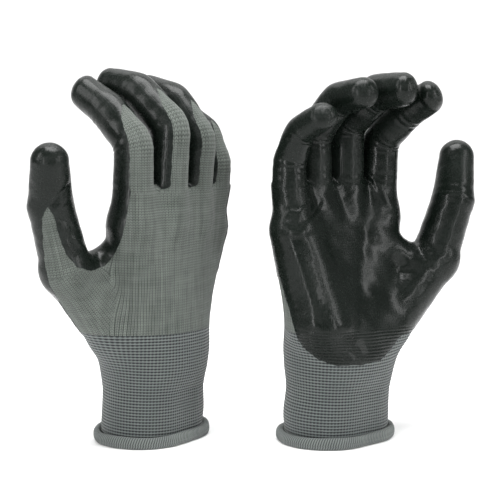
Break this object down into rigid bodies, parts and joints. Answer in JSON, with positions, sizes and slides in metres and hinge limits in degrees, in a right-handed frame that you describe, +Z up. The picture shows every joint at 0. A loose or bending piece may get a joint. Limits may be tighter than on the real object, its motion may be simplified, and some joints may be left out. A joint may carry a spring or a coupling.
{
  "type": "work gloves",
  "caption": "Palm-dipped seamless knit work gloves with rib cuffs, standing on their hems, with fingers, thumbs and wrists that bend.",
  "frame": {"origin": "centre of the pair's bounding box at the level of the cuff hems' flat bottoms", "axes": "+Z up from the hems to the fingertips, +X from glove A to glove B, -Y toward the viewer who sees glove A's back and glove B's palm"},
  "size_m": [0.2456, 0.1186, 0.207],
  "materials": {
    "rib_knit": "matte rib knit, grey",
    "hem_thread": "matte overlock thread, grey",
    "elastic": "covered elastic yarn, pale grey",
    "knit": "matte fine knit, grey",
    "nitrile": "semi-gloss smooth dipped rubber, near black"
  },
  "bodies": {
    "glove_a_cuff_body": {"glove_a_cuff": "rib_knit", "glove_a_hem": "hem_thread", "glove_a_cuff_elastic": "elastic"},
    "glove_a_hand_body": {"glove_a_hand_liner": "knit", "glove_a_palm_coating": "nitrile"},
    "glove_a_thumb_base_body": {"glove_a_thumb_base_liner": "knit", "glove_a_thumb_base_coating": "nitrile"},
    "glove_a_thumb_tip_body": {"glove_a_thumb_tip_liner": "knit", "glove_a_thumb_tip_coating": "nitrile"},
    "glove_a_index_base_body": {"glove_a_index_base_liner": "knit", "glove_a_index_base_coating": "nitrile"},
    "glove_a_index_tip_body": {"glove_a_index_tip_liner": "knit", "glove_a_index_tip_coating": "nitrile"},
    "glove_a_middle_base_body": {"glove_a_middle_base_liner": "knit", "glove_a_middle_base_coating": "nitrile"},
    "glove_a_middle_tip_body": {"glove_a_middle_tip_liner": "knit", "glove_a_middle_tip_coating": "nitrile"},
    "glove_a_ring_base_body": {"glove_a_ring_base_liner": "knit", "glove_a_ring_base_coating": "nitrile"},
    "glove_a_ring_tip_body": {"glove_a_ring_tip_liner": "knit", "glove_a_ring_tip_coating": "nitrile"},
    "glove_a_pinky_base_body": {"glove_a_pinky_base_liner": "knit", "glove_a_pinky_base_coating": "nitrile"},
    "glove_a_pinky_tip_body": {"glove_a_pinky_tip_liner": "knit", "glove_a_pinky_tip_coating": "nitrile"},
    "glove_b_cuff_body": {"glove_b_cuff": "rib_knit", "glove_b_hem": "hem_thread", "glove_b_cuff_elastic": "elastic"},
    "glove_b_hand_body": {"glove_b_hand_liner": "knit", "glove_b_palm_coating": "nitrile"},
    "glove_b_thumb_base_body": {"glove_b_thumb_base_liner": "knit", "glove_b_thumb_base_coating": "nitrile"},
    "glove_b_thumb_tip_body": {"glove_b_thumb_tip_liner": "knit", "glove_b_thumb_tip_coating": "nitrile"},
    "glove_b_index_base_body": {"glove_b_index_base_liner": "knit", "glove_b_index_base_coating": "nitrile"},
    "glove_b_index_tip_body": {"glove_b_index_tip_liner": "knit", "glove_b_index_tip_coating": "nitrile"},
    "glove_b_middle_base_body": {"glove_b_middle_base_liner": "knit", "glove_b_middle_base_coating": "nitrile"},
    "glove_b_middle_tip_body": {"glove_b_middle_tip_liner": "knit", "glove_b_middle_tip_coating": "nitrile"},
    "glove_b_ring_base_body": {"glove_b_ring_base_liner": "knit", "glove_b_ring_base_coating": "nitrile"},
    "glove_b_ring_tip_body": {"glove_b_ring_tip_liner": "knit", "glove_b_ring_tip_coating": "nitrile"},
    "glove_b_pinky_base_body": {"glove_b_pinky_base_liner": "knit", "glove_b_pinky_base_coating": "nitrile"},
    "glove_b_pinky_tip_body": {"glove_b_pinky_tip_liner": "knit", "glove_b_pinky_tip_coating": "nitrile"}
  },
  "joints": [
    {"name": "glove_a_wrist", "type": "hinge", "parent": "glove_a_cuff_body", "child": "glove_a_hand_body", "pos_m": [-0.06045, 0.00827, 0.04992], "axis": [-0.5732, -0.8192, 0.022], "range_deg": [-6, 25], "stiffness_Nm_per_rad": 0.4},
    {"name": "glove_a_thumb_root", "type": "hinge", "parent": "glove_a_hand_body", "child": "glove_a_thumb_base_body", "pos_m": [-0.10605, -0.03624, 0.11372], "axis": [-0.8185, 0.5736, 0.0314], "range_deg": [-15, 15], "stiffness_Nm_per_rad": 0.05},
    {"name": "glove_a_thumb_knuckle", "type": "hinge", "parent": "glove_a_thumb_base_body", "child": "glove_a_thumb_tip_body", "pos_m": [-0.11118, -0.04002, 0.13493], "axis": [-0.8185, 0.5736, 0.0314], "range_deg": [-20, 15], "stiffness_Nm_per_rad": 0.02},
    {"name": "glove_a_index_root", "type": "hinge", "parent": "glove_a_hand_body", "child": "glove_a_index_base_body", "pos_m": [-0.07265, -0.02227, 0.14946], "axis": [-0.5732, -0.8192, 0.022], "range_deg": [-18, 32], "stiffness_Nm_per_rad": 0.05},
    {"name": "glove_a_index_knuckle", "type": "hinge", "parent": "glove_a_index_base_body", "child": "glove_a_index_tip_body", "pos_m": [-0.07231, -0.02204, 0.16676], "axis": [-0.5732, -0.8192, 0.022], "range_deg": [-30, 28], "stiffness_Nm_per_rad": 0.02},
    {"name": "glove_a_middle_root", "type": "hinge", "parent": "glove_a_hand_body", "child": "glove_a_middle_base_body", "pos_m": [-0.05291, -0.0109, 0.1507], "axis": [-0.5732, -0.8192, 0.022], "range_deg": [-18, 32], "stiffness_Nm_per_rad": 0.05},
    {"name": "glove_a_middle_knuckle", "type": "hinge", "parent": "glove_a_middle_base_body", "child": "glove_a_middle_tip_body", "pos_m": [-0.0514, -0.01133, 0.17425], "axis": [-0.5732, -0.8192, 0.022], "range_deg": [-30, 28], "stiffness_Nm_per_rad": 0.02},
    {"name": "glove_a_ring_root", "type": "hinge", "parent": "glove_a_hand_body", "child": "glove_a_ring_base_body", "pos_m": [-0.03936, 0.00665, 0.14818], "axis": [-0.5732, -0.8192, 0.022], "range_deg": [-18, 32], "stiffness_Nm_per_rad": 0.05},
    {"name": "glove_a_ring_knuckle", "type": "hinge", "parent": "glove_a_ring_base_body", "child": "glove_a_ring_tip_body", "pos_m": [-0.0374, 0.0058, 0.16746], "axis": [-0.5732, -0.8192, 0.022], "range_deg": [-30, 28], "stiffness_Nm_per_rad": 0.02},
    {"name": "glove_a_pinky_root", "type": "hinge", "parent": "glove_a_hand_body", "child": "glove_a_pinky_base_body", "pos_m": [-0.02872, 0.02516, 0.14177], "axis": [-0.5732, -0.8192, 0.022], "range_deg": [-12, 24], "stiffness_Nm_per_rad": 0.05},
    {"name": "glove_a_pinky_knuckle", "type": "hinge", "parent": "glove_a_pinky_base_body", "child": "glove_a_pinky_tip_body", "pos_m": [-0.02754, 0.02464, 0.1532], "axis": [-0.5732, -0.8192, 0.022], "range_deg": [-12, 25], "stiffness_Nm_per_rad": 0.02},
    {"name": "glove_b_wrist", "type": "hinge", "parent": "glove_b_cuff_body", "child": "glove_b_hand_body", "pos_m": [0.04341, 0.00529, 0.05002], "axis": [0.7426, 0.6691, -0.0285], "range_deg": [-6, 25], "stiffness_Nm_per_rad": 0.4},
    {"name": "glove_b_thumb_root", "type": "hinge", "parent": "glove_b_hand_body", "child": "glove_b_thumb_base_body", "pos_m": [0.10255, 0.03786, 0.10979], "axis": [0.6686, -0.7431, -0.0257], "range_deg": [-15, 15], "stiffness_Nm_per_rad": 0.05},
    {"name": "glove_b_thumb_knuckle", "type": "hinge", "parent": "glove_b_thumb_base_body", "child": "glove_b_thumb_tip_body", "pos_m": [0.10999, 0.0402, 0.13052], "axis": [0.6686, -0.7431, -0.0257], "range_deg": [-20, 15], "stiffness_Nm_per_rad": 0.02},
    {"name": "glove_b_index_root", "type": "hinge", "parent": "glove_b_hand_body", "child": "glove_b_index_base_body", "pos_m": [0.06967, 0.03145, 0.14808], "axis": [0.7426, 0.6691, -0.0285], "range_deg": [-18, 32], "stiffness_Nm_per_rad": 0.05},
    {"name": "glove_b_index_knuckle", "type": "hinge", "parent": "glove_b_index_base_body", "child": "glove_b_index_tip_body", "pos_m": [0.0706, 0.03115, 0.16536], "axis": [0.7426, 0.6691, -0.0285], "range_deg": [-30, 28], "stiffness_Nm_per_rad": 0.02},
    {"name": "glove_b_middle_root", "type": "hinge", "parent": "glove_b_hand_body", "child": "glove_b_middle_base_body", "pos_m": [0.04803, 0.0248, 0.15092], "axis": [0.7426, 0.6691, -0.0285], "range_deg": [-18, 32], "stiffness_Nm_per_rad": 0.05},
    {"name": "glove_b_middle_knuckle", "type": "hinge", "parent": "glove_b_middle_base_body", "child": "glove_b_middle_tip_body", "pos_m": [0.04844, 0.02535, 0.17451], "axis": [0.7426, 0.6691, -0.0285], "range_deg": [-30, 28], "stiffness_Nm_per_rad": 0.02},
    {"name": "glove_b_ring_root", "type": "hinge", "parent": "glove_b_hand_body", "child": "glove_b_ring_base_body", "pos_m": [0.03073, 0.01076, 0.14958], "axis": [0.7426, 0.6691, -0.0285], "range_deg": [-18, 32], "stiffness_Nm_per_rad": 0.05},
    {"name": "glove_b_ring_knuckle", "type": "hinge", "parent": "glove_b_ring_base_body", "child": "glove_b_ring_tip_body", "pos_m": [0.03048, 0.01187, 0.16895], "axis": [0.7426, 0.6691, -0.0285], "range_deg": [-30, 28], "stiffness_Nm_per_rad": 0.02},
    {"name": "glove_b_pinky_root", "type": "hinge", "parent": "glove_b_hand_body", "child": "glove_b_pinky_base_body", "pos_m": [0.01575, -0.00482, 0.14415], "axis": [0.7426, 0.6691, -0.0285], "range_deg": [-12, 24], "stiffness_Nm_per_rad": 0.05},
    {"name": "glove_b_pinky_knuckle", "type": "hinge", "parent": "glove_b_pinky_base_body", "child": "glove_b_pinky_tip_body", "pos_m": [0.01558, -0.00415, 0.15563], "axis": [0.7426, 0.6691, -0.0285], "range_deg": [-12, 25], "stiffness_Nm_per_rad": 0.02},
    {"name": "glove_b_lift", "type": "slide", "parent": "glove_a_cuff_body", "child": "glove_b_cuff_body", "axis": [0, 0, 1], "range_m": [0, 0.25]}
  ]
}
